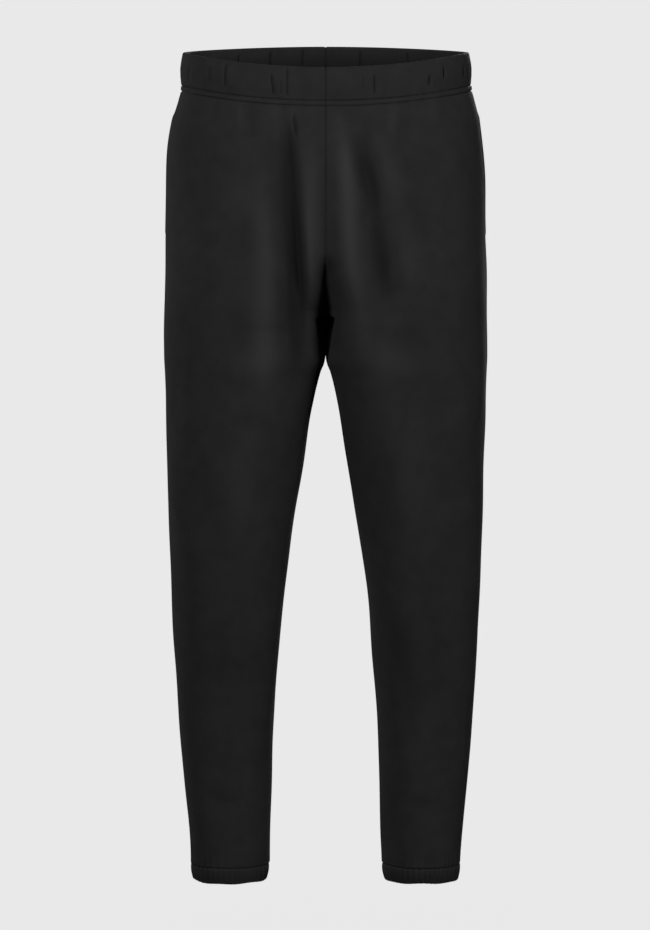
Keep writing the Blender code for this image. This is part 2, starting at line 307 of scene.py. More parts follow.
def smooth_path(corners, count):
    """Points of a Catmull-Rom curve through the corners, evenly spread in its parameter."""
    corners = np.asarray(corners, dtype=float)
    knots = np.vstack((2 * corners[0] - corners[1], corners, 2 * corners[-1] - corners[-2]))
    place = np.linspace(0, len(corners) - 1, count)
    i = np.minimum(place.astype(int), len(corners) - 2)
    t = (place - i)[:, None]
    a, b, c, d = (knots[i + k] for k in range(4))
    return 0.5 * (2 * b + (c - a) * t + (2 * a - 5 * b + 4 * c - d) * t * t
                  + (3 * b - a - 3 * c + d) * t ** 3)


def nearest_on_path(x, z, path):
    """Distance from each point to the nearest run of a path, and the share of the path passed there."""
    best = np.full(x.shape, 1e9)
    passed = np.zeros(x.shape)
    for i, (start, end) in enumerate(zip(path, path[1:])):
        run = end - start
        share = np.clip(((x - start[0]) * run[0] + (z - start[1]) * run[1]) / (run @ run), 0, 1)
        distance = np.hypot(x - start[0] - share * run[0], z - start[1] - share * run[1])
        closer = distance < best
        best = np.where(closer, distance, best)
        passed = np.where(closer, (i + share) / (len(path) - 1), passed)
    return best, passed


def fold_relief(face, x, z):
    """Sum over a face's folds of the depth there * bell(distance), with a low lip on both sides."""
    total = np.zeros_like(x)
    for fold_face, width, depth, corners in FOLDS:
        path = smooth_path(corners, PATH_POINTS) * (MM, MM, 1)
        width, depth = width * MM, depth * MM
        low, high = path.min(axis=0) - FOLD_BOX * width, path.max(axis=0) + FOLD_BOX * width
        near = (x > low[0]) & (x < high[0]) & (z > low[1]) & (z < high[1])
        if fold_face != face or not near.any():
            continue
        distance, passed = nearest_on_path(x[near], z[near], path[:, :2])
        strength = np.interp(passed, np.linspace(0, 1, len(path)), path[:, 2])
        across = bell(distance, width) if depth > 0 else np.exp(-(distance / width) ** TROUGH_POWER)
        lip = LIP_SHARE * bell(distance - LIP_PLACE * width, width)
        total[near] += depth * strength * (across - lip)
    return total


print(len(FOLDS), "folds")

# %% [markdown]
# Between the folds the cloth is never quite flat. A sum of a few long waves through space, each with
# its own direction and phase, gives that slow unevenness, and it runs on across a seam. The phases
# come from a seeded generator, so the cloth is the same on each run.

# %% Slow unevenness
UNEVEN_HEIGHT = 0.0009
UNEVEN_LENGTHS = (0.045, 0.13)
UNEVEN_WAVES = 22
UNEVEN_LEAN = (1.0, 1.0, 0.55)   # less change down the leg than across it


def unevenness(points):
    """Sum of plane sine waves through space, longer down the leg than across, as deep as stated."""
    dice = np.random.default_rng(7)
    total = np.zeros(points.shape[:-1])
    for _ in range(UNEVEN_WAVES):
        direction = dice.normal(size=3) * UNEVEN_LEAN
        direction /= np.linalg.norm(direction)
        length = dice.uniform(*UNEVEN_LENGTHS)
        total += np.sin(2 * np.pi * points @ direction / length + dice.uniform(0, 2 * np.pi))
    return total * UNEVEN_HEIGHT / math.sqrt(UNEVEN_WAVES)


# %% [markdown]
# ## Seams, gathers and the sharp crease
#
# At a seam the two edges roll inwards, so each panel sinks over its last two millimetres. Under the
# waistband the seam allowance is pressed down and stitched, which leaves a slightly raised strip
# and a second fine line 7 mm lower. Elastic gathers the cloth beside it into short ripples.

# %% Relief beside seams
SEAM_DEPTH, SEAM_REACH = 0.0013, 0.0012
STRIP_SWELL, STRIP_START, STRIP_END = 0.0009, 0.002, 0.0022
TOPSTITCH_DROP, TOPSTITCH_GROOVE, TOPSTITCH_WIDTH = 0.0072, 0.0014, 0.0007
MOUTH_TOP, MOUTH_BOTTOM, MOUTH_GAPE, MOUTH_HEM = -0.050, -0.200, 0.004, 0.0065
# each gathered seam: its level, and the ripples' reach, spacing and height
GATHERS = ((WAIST_SEAM, 0.016, 0.0105, 0.00035), (ANKLE_SEAM, 0.011, 0.0080, 0.00070))
GATHER_SHIFTS = ((0.0030, 0.023), (0.0015, 0.009))   # how far the ripples stray, and over what length
GATHER_CHANGE, GATHER_CHANGE_LENGTH = (0.6, 0.4), 0.031
# the sharp crease: its path in mm, then its depth and the half width of its V
SHARP_CREASE = ((-38.2, -52), (-36.0, -64), (-34.6, -77))
SHARP_DEPTH, SHARP_WIDTH, SHARP_FADE = 0.0045, 0.0010, 0.2
SHARP_LIP, SHARP_LIP_PLACE, SHARP_LIP_WIDTH = 0.0010, 0.005, 0.004


def stitched_strip(distance, width):
    """Raised strip from a seam to its stitch line: a low swell that ends in a fine groove."""
    swell = STRIP_SWELL * soft_step(distance / STRIP_START) * soft_step((width - distance) / STRIP_END)
    return swell - TOPSTITCH_GROOVE * bell(distance - width, TOPSTITCH_WIDTH)


def gather_relief(side, angle, level):
    """Ripples along each gathered seam, uneven in height and spacing, dying out away from it."""
    total = np.zeros_like(angle)
    dice = np.random.default_rng({"left": 31, "right": 47}[side])
    for seam, reach, spacing, height in GATHERS:
        along = np.interp(angle, *lengths_round(seam))
        phases = dice.uniform(0, 2 * np.pi, 4)
        shift = sum(far * np.sin(along / run + phase) for (far, run), phase in zip(GATHER_SHIFTS, phases))
        change = GATHER_CHANGE[0] + GATHER_CHANGE[1] * np.sin(along / GATHER_CHANGE_LENGTH + phases[2])
        ripple = np.sin(2 * np.pi * (along + shift) / spacing + phases[3])
        total += height * change * ripple * np.exp(-np.abs(level - seam) / reach)
    return total


def sharp_relief(x, z):
    """One short pinched crease beside the centre front: a V across it, fading at both ends."""
    distance, passed = nearest_on_path(x, z, smooth_path(SHARP_CREASE, 24) * MM)
    ends = soft_step(passed / SHARP_FADE) * soft_step((1 - passed) / SHARP_FADE)
    lip = SHARP_LIP * bell(distance - SHARP_LIP_PLACE, SHARP_LIP_WIDTH)
    return ends * (lip - SHARP_DEPTH * np.exp(-distance / SHARP_WIDTH))


# %% [markdown]
# ## Where the legs part
#
# Four things happen at the crotch. The cloth sinks into a hollow between the thighs, the thighs
# stand a little apart below it, their form is rounded off where they leave the body, and further
# back they press on each other. Each is a short formula in the place of a point, so that both legs
# and both faces agree wherever they meet.

# %% The hollow at the crotch
HOLLOW_MIDDLE, HOLLOW_WIDTH, HOLLOW_DEPTH = 0.003, 0.0095, 0.015
HOLLOW_TOP, HOLLOW_FULL, HOLLOW_END, HOLLOW_FADE = -0.212, -0.245, -0.352, 0.03
HOLLOW_FRONT = -0.022            # behind this the cloth keeps its place


def crotch_hollow(points):
    """Where the two thighs leave the body, the cloth sinks between them: a bell across the middle,
    from HOLLOW_TOP down to where the legs part, and only on the front of the legs."""
    x, y, z = np.moveaxis(points, -1, 0)
    down = soft_step((HOLLOW_TOP - z) / (HOLLOW_TOP - HOLLOW_FULL))
    down = down * soft_step((z - HOLLOW_END) / HOLLOW_FADE)
    across = bell(x - HOLLOW_MIDDLE, HOLLOW_WIDTH)
    return -HOLLOW_DEPTH * across * down * soft_step((HOLLOW_FRONT - y) / HOLLOW_FADE)


# %% The gap between the thighs
PARTING_HALF, PARTING_TOP, PARTING_START, PARTING_END = 0.0125, CROTCH - 0.003, 0.008, -0.362
PARTING_BACK = (-0.004, -0.034)  # the gap opens from nothing to its full width between these depths
PARTING_BLEND = 0.5              # share of the gap over which the cloth turns into its wall


def parting(points):
    """Half the gap between the thighs: widest right under the crotch, closing down the legs and
    towards the back, where the thighs touch."""
    y, z = points[..., 1], points[..., 2]
    closing = np.clip((z - PARTING_END) / (PARTING_TOP - PARTING_END), 0, 1)
    down = soft_step((PARTING_TOP - z) / PARTING_START) * closing
    return PARTING_HALF * down * soft_step((PARTING_BACK[0] - y) / (PARTING_BACK[0] - PARTING_BACK[1]))


# %% The rounded turn of the thigh's form
TURN_TOP, TURN_BOTTOM, TURN_FADE, TURN_REACH = -0.235, -0.410, 0.020, 0.014
TURN_SAMPLES = 9
TURN_MIDDLE, TURN_MIDDLE_FADE = 0.008, 0.012


def forward_of_plane(face, x, level):
    """How far the oval stands before (or behind) the side plane at a distance from the middle."""
    outer, inner = smooth(level, "outer"), smooth(level, "inner")
    share = (x - (outer + inner) / 2) / ((outer - inner) / 2)
    power = np.where(share > 0, OUTER_EXPONENT, smooth(level, "exponent"))
    middle = (smooth(level, "back") - smooth(level, "front")) / 2
    deep = half_depth(level) * np.maximum(1 - np.abs(share) ** power, 0) ** (1 / power)
    return deep - middle if face == "front" else deep + middle


def rounded_turns(face, points):
    """The thigh's form turns sharply where the legs part. This rounds it off: a mean of the form
    over the reach above and below, less the form itself, away from the middle."""
    x, z = np.abs(points[..., 0]), points[..., 2]
    near = soft_step((TURN_TOP - z) / TURN_FADE) * soft_step((z - TURN_BOTTOM) / TURN_FADE)
    steps = np.linspace(-1, 1, TURN_SAMPLES)[1:-1]
    shares = (1 - np.abs(steps)) / np.sum(1 - np.abs(steps))
    mean = sum(share * forward_of_plane(face, x, z + TURN_REACH * step) for step, share in zip(steps, shares))
    return (mean - forward_of_plane(face, x, z)) * near * soft_step((x - TURN_MIDDLE) / TURN_MIDDLE_FADE)


# %% The thighs' contact
THIGH_SWELL, SWELL_REACH = 0.0008, 0.004
SWELL_TOP, SWELL_BOTTOM, SWELL_FADE = -0.270, -0.348, 0.01
CONTACT_WAVE, CONTACT_LENGTH, CONTACT_PHASE, CONTACT_GAP = 0.0012, 0.046, 0.9, 0.00008
CONTACT_START, CONTACT_FADE = 0.002, 0.012


def thigh_contact(points):
    """The inner thighs press on each other below the crotch, so they swell a little towards it."""
    z = points[..., 2]
    down = soft_step((SWELL_TOP - z) / SWELL_FADE), soft_step((z - SWELL_BOTTOM) / SWELL_FADE)
    return THIGH_SWELL * bell(points[..., 0], SWELL_REACH) * down[0] * down[1]


def contact_face(points):
    """Where the two legs meet: the centre plane above the crotch, and below it a slightly wavy face,
    a sine along the depth, with a hair's breadth kept clear on each side of it."""
    below = soft_step((CROTCH + CONTACT_START - points[..., 2]) / CONTACT_FADE)
    wave = CONTACT_WAVE * np.sin(2 * np.pi * points[..., 1] / CONTACT_LENGTH + CONTACT_PHASE) * below
    return wave, CONTACT_GAP * below


# %% [markdown]
# ## Leg panels
#
# Each panel is one grid of points from the waist seam to the ankle seam. Its rows crowd at the
# seams, where the shape is fine. Above the crotch they fan out, because the centre seam turns under
# the body there. Solidify then gives the grid its wall, two millimetres inwards.

# %% Places of a panel's points
FINE_STEPS = np.array((0.0, 0.0004, 0.0008, 0.0013, 0.0019, 0.0027, 0.0038))
PANEL_ROW_STEP, PANEL_COLUMN_STEP, PANEL_WIDTH = 0.0036, 0.0024, 0.27


def graded(length, step, marks=()):
    """Places from 0 to length at an even step, with close ones at both ends and about each mark."""
    close = [FINE_STEPS, length - FINE_STEPS]
    for mark in marks:
        close += [mark - FINE_STEPS[:5], mark + FINE_STEPS[:5]]
    close = np.unique(np.round(np.concatenate(close), 6))
    close = close[(close >= 0) & (close <= length)]
    even = np.linspace(0, length, round(length / step) + 1)
    apart = np.abs(even[:, None] - close[None, :]).min(axis=1) > 0.6 * step
    return np.sort(np.concatenate((close, even[apart])))


def mouth_share(level):
    """0 at the top of the pocket mouth, 1 at its bottom."""
    return np.clip((level - MOUTH_TOP) / (MOUTH_BOTTOM - MOUTH_TOP), 0, 1)


def side_edge(level, face):
    """Angle of a panel's edge at the side seam: the front one draws back at the pocket mouth."""
    gape = MOUTH_GAPE * np.sin(np.pi * mouth_share(level)) ** 0.8 if face == "front" else 0.0
    return gape / half_depth(level)


EDGE_LEVEL = CROTCH + (WAIST_SEAM - CROTCH) * np.linspace(1, 0, 4000) ** 3
EDGE_ANGLE = inner_angle(EDGE_LEVEL)


def seam_curve(down, length):
    """Level of the inner edge at each length down the side, for the rows above the crotch.

    The centre seam and the crotch curve are longer than the side. Rows keep their distance from the
    waist seam at first, and spread more and more towards the crotch, along the seam's own length.
    """
    edge = oval(EDGE_ANGLE, EDGE_LEVEL)
    passed = np.concatenate(([0.0], np.cumsum(np.linalg.norm(np.diff(edge, axis=0), axis=1))))
    wanted = down + (passed[-1] - length) * (down / length) ** 2
    return np.interp(wanted, passed, EDGE_LEVEL)


CREASE_MARKS = (0.031, 0.034, 0.037)      # the sharp crease's distance from the centre front seam


def panel_places(face, side):
    """Angle and level of every point of a panel: rows go down, columns from the inner edge out.

    A row is straight in angle and level, from its place on the inner edge to its place on the side.
    """
    down = graded(WAIST_SEAM - ANKLE_SEAM, PANEL_ROW_STEP, marks=(TOPSTITCH_DROP,))
    rise = WAIST_SEAM - CROTCH
    side_level = WAIST_SEAM - down
    inner_level = np.where(down < rise, seam_curve(np.minimum(down, rise), rise), side_level)
    start = np.where(down < rise, inner_angle(inner_level), np.pi)
    marks = CREASE_MARKS if (face, side) == ("front", "right") else ()
    share = graded(PANEL_WIDTH, PANEL_COLUMN_STEP, marks) / PANEL_WIDTH
    level = inner_level[:, None] + (side_level - inner_level)[:, None] * share[None, :]
    angle = start[:, None] * (1 - share[None, :]) + side_edge(level, face) * share[None, :]
    return (angle if face == "front" else -angle), level


def distance_to_inner(turn, level, radian):
    """Distance to the inner edge: from the distances straight across and straight up to it."""
    across = (np.where(level > CROTCH, inner_angle(level), np.pi) - turn) * radian
    up = np.interp(turn, EDGE_ANGLE, EDGE_LEVEL) - level + np.where(turn < EDGE_ANGLE[0], 1.0, 0.0)
    across, up = np.maximum(across, 0), np.maximum(up, 0)
    return across * up / np.maximum(np.hypot(across, up), 1e-9)


# %% Points of a panel
FACING_GAIN = 1.6                # cloth whose normal is over 1 / 1.6 forwards moves fully with its fold
MOUTH_FADE = 0.04                # share of the mouth over which its hem dies out at each end
SEAM_HOLD = 0.012                # within this distance the centre seam draws the cloth to its plane


def split_apart(points, base, side):
    """Keep a leg's points on their own side of the contact face and of the gap between the thighs.

    At the gap the distance from the middle becomes the larger of itself and half the gap, and a
    parabola joins the two where they are nearly equal.
    """
    sign = -1 if side == "right" else 1
    wave, gap = contact_face(base)
    x = sign * np.maximum(sign * (points[..., 0] - wave), gap) + wave
    half, apart = parting(base), np.abs(x)
    blend = np.maximum(PARTING_BLEND * half, 1e-6)
    wide = np.maximum(apart, half) + np.maximum(blend - np.abs(apart - half), 0) ** 2 / (4 * blend)
    return np.where(half > 0, sign * wide, x)


def cloth(face, side, angle, level):
    """Point of a panel's outer face, its normal and its fold's height: the oval moved forwards or
    backwards by the folds, and along its normal by every other relief."""
    base, (normal, radian) = oval(angle, level), outward(angle, level)
    sign = -1 if side == "right" else 1
    base[..., 0] = np.maximum(base[..., 0], 0)
    base, normal = base * (sign, 1, 1), normal * (sign, 1, 1)
    facing = soft_step(np.abs(normal[..., 1]) * FACING_GAIN)
    fold = fold_relief(face, base[..., 0], base[..., 2]) * facing
    forward = fold + rounded_turns(face, base) * facing
    relief = unevenness(base) + gather_relief(side, angle, level) + thigh_contact(base)
    if face == "front" and side == "right":
        relief += sharp_relief(base[..., 0], base[..., 2])
    turn = np.abs(angle)
    from_inner = distance_to_inner(turn, level, radian)
    from_side = (turn - side_edge(level, face)) * radian
    for distance in (from_inner, from_side, WAIST_SEAM - level, level - ANKLE_SEAM):
        relief -= SEAM_DEPTH * bell(distance, SEAM_REACH)
    relief += stitched_strip(WAIST_SEAM - level, TOPSTITCH_DROP)
    if face == "front":
        share = mouth_share(level)
        ends = soft_step(share / MOUTH_FADE), soft_step((1 - share) / MOUTH_FADE)
        relief += stitched_strip(from_side, MOUTH_HEM) * ends[0] * ends[1]
    points = base + normal * relief[..., None]
    points[..., 1] += forward if face == "back" else -forward
    if face == "front":
        points[..., 1] -= crotch_hollow(base)
    # an edge on the centre plane stays on it, whichever way its relief goes
    hold = np.where(level > CROTCH, soft_step(1 - from_inner / SEAM_HOLD), 0)
    points[..., 0] += (base[..., 0] - points[..., 0]) * hold
    points[..., 0] = split_apart(points, base, side)
    return points, normal, fold


# %% Put a grid of points into a mesh
def grid_faces(rows, columns, join_rows=False, join_columns=False):
    """Index quads of a grid, row by row. A joined side has its first line of points again at its end."""
    index = np.arange(rows * columns).reshape(rows, columns)
    if join_columns:
        index = np.concatenate((index, index[:, :1]), axis=1)
    if join_rows:
        index = np.concatenate((index, index[:1]))
    corners = index[:-1, :-1], index[:-1, 1:], index[1:, 1:], index[1:, :-1]
    return np.stack(corners, axis=-1).reshape(-1, 4)


def to_side(points, side):
    """Points of the wearer's left leg, or their mirror image for the right one."""
    return points * (1 if side == "left" else -1, 1, 1)


def mesh_object(name, points, faces, material, cloth_uv=None):
    """Make an object from points, faces of equal size and each point's place in the flat cloth."""
    mesh = bpy.data.meshes.new(name)
    mesh.vertices.add(len(points))
    mesh.vertices.foreach_set("co", np.ascontiguousarray(points, dtype=np.float32).ravel())
    mesh.loops.add(faces.size)
    mesh.loops.foreach_set("vertex_index", np.ascontiguousarray(faces, dtype=np.int32).ravel())
    mesh.polygons.add(len(faces))
    mesh.polygons.foreach_set("loop_start", np.arange(0, faces.size, faces.shape[1], dtype=np.int32))
    mesh.update(calc_edges=True)
    if cloth_uv is not None:
        uv = mesh.uv_layers.new(name="cloth")
        uv.data.foreach_set("uv", np.ascontiguousarray(cloth_uv[faces.ravel()], dtype=np.float32).ravel())
    mesh.validate()
    mesh.shade_smooth()
    mesh.materials.append(material)
    piece = bpy.data.objects.new(name, mesh)
    garment.objects.link(piece)
    return piece


def set_painted_light(piece, painted_light):
    """Store the painted light at each point: 1 full painted highlight, -1 full painted shade, 0 none."""
    values = np.clip(painted_light, -1, 1).astype(np.float32).ravel()
    piece.data.attributes.new("painted_light_amount", "FLOAT", "POINT").data.foreach_set("value", values)


def flat_places(points):
    """Place of each grid point in the flat cloth: its distance along the row from the row's middle,
    and its distance down the middle column."""
    along = np.linalg.norm(np.diff(points, axis=1), axis=-1)
    along = np.concatenate((np.zeros((len(points), 1)), np.cumsum(along, axis=1)), axis=1)
    middle = points.shape[1] // 2
    down = np.linalg.norm(np.diff(points[:, middle], axis=0), axis=-1)
    down = np.concatenate(([0.0], np.cumsum(down)))
    down = np.repeat(-down[:, None], points.shape[1], 1)
    return np.stack((along - along[:, middle:middle + 1], down), axis=-1)


def grid_area(points):
    """Area of a grid: half the cross product of each quad's diagonals, added up."""
    across, down = points[1:, 1:] - points[:-1, :-1], points[1:, :-1] - points[:-1, 1:]
    return float(np.linalg.norm(np.cross(across, down), axis=-1).sum() / 2)


garment = bpy.data.collections.new("jogger sweatpants")
bpy.context.scene.collection.children.link(garment)

# %% [markdown]
# ## The fleece
#
# Brushed cotton fleece, dyed near black. Its face is a fine jersey knit whose ribs, called wales,
# run down the leg about 1 mm apart, raised into a short nap. The nap scatters light at the rim,
# which is what sheen does in the shader, and it leaves the cloth matt. The colour is a dark grey
# rather than black, because black dye on cotton still returns one or two per cent of the light.
# Along a fold's ridge the colour is painted lighter as a highlight. In its trough, and inside the
# waistband, it is painted darker as shade. An attribute of the mesh says how much at each point,
# and the material mixes its colour by it.

# %% Material helpers
def linear(hex_colour):
    """Turn an sRGB hex value such as '1f1f20' into the linear colour that the shader needs."""
    values = [int(hex_colour[i:i + 2], 16) / 255 for i in (0, 2, 4)]
    return tuple(v / 12.92 if v <= 0.04045 else ((v + 0.055) / 1.055) ** 2.4 for v in values) + (1.0,)


def add_node(tree, kind, settings=None, links=None):
    """Add one shader node. Settings name its properties or input sockets, links its input sockets."""
    node = tree.nodes.new(kind)
    for name, value in (settings or {}).items():
        if isinstance(name, int) or name in node.inputs:
            node.inputs[name].default_value = value
        else:
            setattr(node, name, value)
    for name, socket in (links or {}).items():
        tree.links.new(socket, node.inputs[name])
    return node


def new_material(name, sockets):
    """Start a material: its node tree, and its Principled shader with the sockets' values set."""
    material = bpy.data.materials.new(name)
    material.use_nodes = True
    shader = material.node_tree.nodes["Principled BSDF"]
    for socket, value in sockets.items():
        shader.inputs[socket].default_value = value
    return material, material.node_tree, shader


# %% Brushed fleece
# colours of the painted highlight and of the painted shade
PAINTED_HIGHLIGHT, PAINTED_SHADE = "343435", "19191a"
PAINTED_LIGHT_FULL = 0.0056               # height of a fold at which its painted highlight or painted shade is full
WALE, NAP, MOTTLE = 0.0011, 0.0007, 0.022    # the nap is twice as coarse as it is, or it wouldn't show
BANDS_PER_RADIAN = 20           # the wave texture's own factor: period = 2 pi / (20 * scale)
WALE_HEIGHT, NAP_HEIGHT = 0.0002, 0.0004


def brushed_fleece(name, dark, light, sheen=0.02):
    """Matt knitted cloth: mottled dye, a brushed-up nap and wales along the cloth's own length, with painted
    highlight and shade mixed into its colour.
    """
    material, tree, shader = new_material(name, {
        "Roughness": 0.92, "IOR": 1.45, "Specular IOR Level": 0.25,
        "Sheen Weight": sheen, "Sheen Roughness": 0.4, "Sheen Tint": linear("c8c8cc")})
    place = add_node(tree, "ShaderNodeTexCoord").outputs["Object"]
    flat = add_node(tree, "ShaderNodeUVMap", {"uv_map": "cloth"}).outputs["UV"]
    mottle = add_node(tree, "ShaderNodeTexNoise", {"Scale": 1 / MOTTLE, "Detail": 5.0, "Roughness": 0.6},
                      {"Vector": place})
    tone = add_node(tree, "ShaderNodeMapRange", {"From Min": 0.3, "From Max": 0.7},
                    {"Value": mottle.outputs["Fac"]})
    colour = add_node(tree, "ShaderNodeMix", {"data_type": "RGBA", 6: linear(dark), 7: linear(light)},
                      {0: tone.outputs["Result"]})
    # painted highlight along a fold's ridge, and painted shade in its trough and inside the waistband
    painted_light = add_node(tree, "ShaderNodeAttribute", {"attribute_name": "painted_light_amount"}).outputs["Fac"]
    highlighted = add_node(tree, "ShaderNodeMix", {"data_type": "RGBA", 7: linear(PAINTED_HIGHLIGHT)},
                      {0: painted_light, 6: colour.outputs[2]})
    shade_share = add_node(tree, "ShaderNodeMath", {"operation": "MULTIPLY", 1: -1.0}, {0: painted_light})
    highlighted_and_shaded = add_node(tree, "ShaderNodeMix", {"data_type": "RGBA", 7: linear(PAINTED_SHADE)},
                    {0: shade_share.outputs[0], 6: highlighted.outputs[2]})
    tree.links.new(highlighted_and_shaded.outputs[2], shader.inputs["Base Color"])
    wales = add_node(tree, "ShaderNodeTexWave", {
        "Scale": 2 * math.pi / BANDS_PER_RADIAN / WALE, "Distortion": 0.8,
        "Detail": 1.0, "Detail Scale": 2.0}, {"Vector": flat})
    nap = add_node(tree, "ShaderNodeTexNoise", {"Scale": 1 / NAP, "Detail": 3.0, "Roughness": 0.65},
                   {"Vector": place})
    knit = add_node(tree, "ShaderNodeBump", {"Strength": 0.20, "Distance": WALE_HEIGHT},
                    {"Height": wales.outputs["Fac"]})
    fuzz = add_node(tree, "ShaderNodeBump", {"Strength": 0.45, "Distance": NAP_HEIGHT},
                    {"Height": nap.outputs["Fac"], "Normal": knit.outputs["Normal"]})
    tree.links.new(fuzz.outputs["Normal"], shader.inputs["Normal"])
    return material


fleece = brushed_fleece("brushed cotton fleece", "232324", "292929")
print("material:", fleece.name)

# %% Build the four leg panels
pieces = {}
for side in ("left", "right"):
    for face in ("front", "back"):
        points, _, fold = cloth(face, side, *panel_places(face, side))
        faces = grid_faces(*points.shape[:2])
        if (face == "front") == (side == "left"):
            faces = faces[:, ::-1]
        panel = mesh_object(f"{face}_panel_{side}", points.reshape(-1, 3), faces, fleece,
                            flat_places(points).reshape(-1, 2))
        # painted highlight on the folds' ridges and painted shade in their troughs, by each fold's height
        set_painted_light(panel, fold / PAINTED_LIGHT_FULL)
        wall = panel.modifiers.new("wall", "SOLIDIFY")
        wall.thickness, wall.offset = CLOTH, -1
        pieces[face, side] = panel
        print(panel.name, points.shape[:2], f"{grid_area(points):.4f} m2 of cloth")

# %% [markdown]
# ## Waistband and ankle casings
#
# Both are a strip of the same cloth folded over elastic, so one outline serves them: straight
# faces, a half-round fold at the free edge and small round corners at the seam. The outline is
# carried round the body. Its points come in pairs, one on the outer face and one on the inner, so
# that the ends of the waistband's halves close with a row of quads between the pairs.

# %% Outline of a folded casing
CASING_CORNER, CASING_ROW_STEP = 0.0010, 0.0012
CASING_LAP = 0.0005          # a casing's edge laps the panel by this much, so no light comes through


def casing_outline(height, wall):
    """Rise from the seam and depth below the outer face, round a casing's cross-section.

    The outer half goes up from the middle of the seam edge to the middle of the fold, and the inner
    half mirrors it.
    """
    corner, fold = CASING_CORNER, wall / 2
    turn = np.radians((15, 45, 75))
    low_rise, low_depth = corner * (1 - np.cos(turn)), corner * (1 - np.sin(turn))
    low_rise[0] -= CASING_LAP
    face = np.linspace(corner, height - fold, round(height / CASING_ROW_STEP))[1:-1]
    turn = np.radians(np.linspace(0, 80, 7))
    top_rise, top_depth = height - fold + fold * np.sin(turn), fold * (1 - np.cos(turn))
    rise = np.concatenate((low_rise, face, top_rise))
    depth = np.concatenate((low_depth, np.zeros_like(face), top_depth))
    return np.concatenate((rise, rise[::-1])), np.concatenate((depth, wall - depth[::-1]))


BAND_WALL, CASING_WALL = 0.0045, 0.0035
band_rise, band_depth = casing_outline(BAND_TOP - WAIST_SEAM, BAND_WALL)
casing_rise, casing_depth = casing_outline(ANKLE_SEAM - HEM, CASING_WALL)
print("outlines of", len(band_rise), "and", len(casing_rise), "points")

# %% [markdown]
# Elastic holds the waistband smooth between a few narrow creases, where the spare cloth tucks in.
# Each crease is a thin groove that leans a little and stops short of the edges.

# %% Creases of the waistband
# side, face, angle at its foot and at its head, from and to as shares of the height, depth in mm
BAND_CREASES = (
    ("right", "outer", 23.5, 23.5, 0.14, 0.68, 0.8),
    ("right", "outer", 39.5, 39.4, 0.24, 0.74, 1.0),
    ("right", "outer", 48.1, 48.2, 0.16, 0.92, 1.5),
    ("right", "outer", 69.7, 68.2, 0.04, 0.74, 1.5),
    ("right", "outer", 74.9, 74.9, 0.05, 0.97, 1.0),
    ("right", "outer", 72.5, 72.5, 0.10, 0.60, 0.5),
    ("left", "outer", 75.4, 75.4, 0.23, 0.73, 0.5),
    ("left", "outer", 70.8, 70.8, 0.07, 0.75, 1.1),
    ("left", "outer", 66.5, 66.9, 0.02, 0.20, 0.9),
    ("left", "outer", 46.4, 46.3, 0.18, 0.58, 1.3),
    ("left", "outer", 37.9, 37.8, 0.32, 0.76, 1.3),
    ("left", "outer", 20.8, 20.8, 0.25, 0.67, 0.9),
    ("left", "outer", 8.0, 8.2, 0.15, 0.80, 0.9),
    ("right", "outer", 6.0, 5.7, 0.10, 0.60, 0.9),
    ("left", "outer", -18.0, -18.3, 0.10, 0.70, 1.2),
    ("left", "outer", -34.0, -33.5, 0.05, 0.85, 1.4),
    ("left", "outer", -52.0, -52.4, 0.25, 0.80, 0.9),
    ("left", "outer", -66.0, -65.6, 0.08, 0.60, 1.3),
    ("left", "outer", -79.0, -79.2, 0.10, 0.90, 1.0),
    ("right", "outer", -14.0, -14.0, 0.20, 0.75, 1.0),
    ("right", "outer", -29.0, -29.6, 0.06, 0.66, 1.3),
    ("right", "outer", -47.0, -46.7, 0.15, 0.92, 1.4),
    ("right", "outer", -61.0, -61.3, 0.05, 0.50, 0.9),
    ("right", "outer", -73.0, -72.6, 0.12, 0.80, 1.3),
    ("right", "inner", -80.7, -80.7, 0.30, 0.95, 1.0),
    ("right", "inner", -67.6, -67.2, 0.25, 0.90, 1.2),
    ("right", "inner", -53.0, -53.0, 0.20, 0.85, 1.0),
    ("left", "inner", -76.0, -75.8, 0.25, 0.92, 1.1),
    ("left", "inner", -55.0, -55.2, 0.30, 0.90, 1.1),
    ("left", "inner", 40.0, 40.0, 0.10, 0.80, 1.0),
    ("right", "inner", 52.0, 52.3, 0.15, 0.80, 1.0),
    ("left", "inner", 68.0, 67.8, 0.20, 0.80, 0.9),
    ("right", "inner", 20.0, 20.2, 0.10, 0.70, 1.0),
)


CREASE_GAIN, CREASE_WIDTH, CREASE_ENDS = 2.5, 0.0009, 0.12
CREASE_LIP, CREASE_LIP_PLACE, CREASE_LIP_WIDTH = 0.3, 0.005, 0.004


def crease_relief(side, face, along, share, table):
    """Grooves of one face: a narrow V across each crease, fading at both of its ends."""
    total = np.zeros(np.broadcast(along, share).shape)
    for crease_side, crease_face, foot, head, low, high, depth in BAND_CREASES:
        if (crease_side, crease_face) != (side, face):
            continue
        lean = foot + (head - foot) * share
        away = np.abs(along - np.interp(np.radians(lean), *table))
        ends = soft_step((share - low) / CREASE_ENDS) * soft_step((high - share) / CREASE_ENDS)
        lip = CREASE_LIP * bell(away - CREASE_LIP_PLACE, CREASE_LIP_WIDTH)
        total += ends * depth * MM * (lip - CREASE_GAIN * np.exp(-away / CREASE_WIDTH))
    return total


# %% Build the waistband's halves
BAND_STEP = 0.0022
BAND_SWELL = 0.0010          # the elastic pulls both edges in a little, so the face bows out
BAND_UNEVEN = 0.6            # share of the panels' unevenness that the elastic leaves
BAND_ROLL_FROM, BAND_ROLL = 0.9, 0.6         # near its fold the end of a half also rolls down
PUCKER, PUCKER_LENGTH, PUCKER_REACH = 0.0004, 0.0072, 0.006
PUCKER_STRAY, PUCKER_STRAY_LENGTH, PUCKER_CHANGE_LENGTH = 1.7, 0.021, 0.037


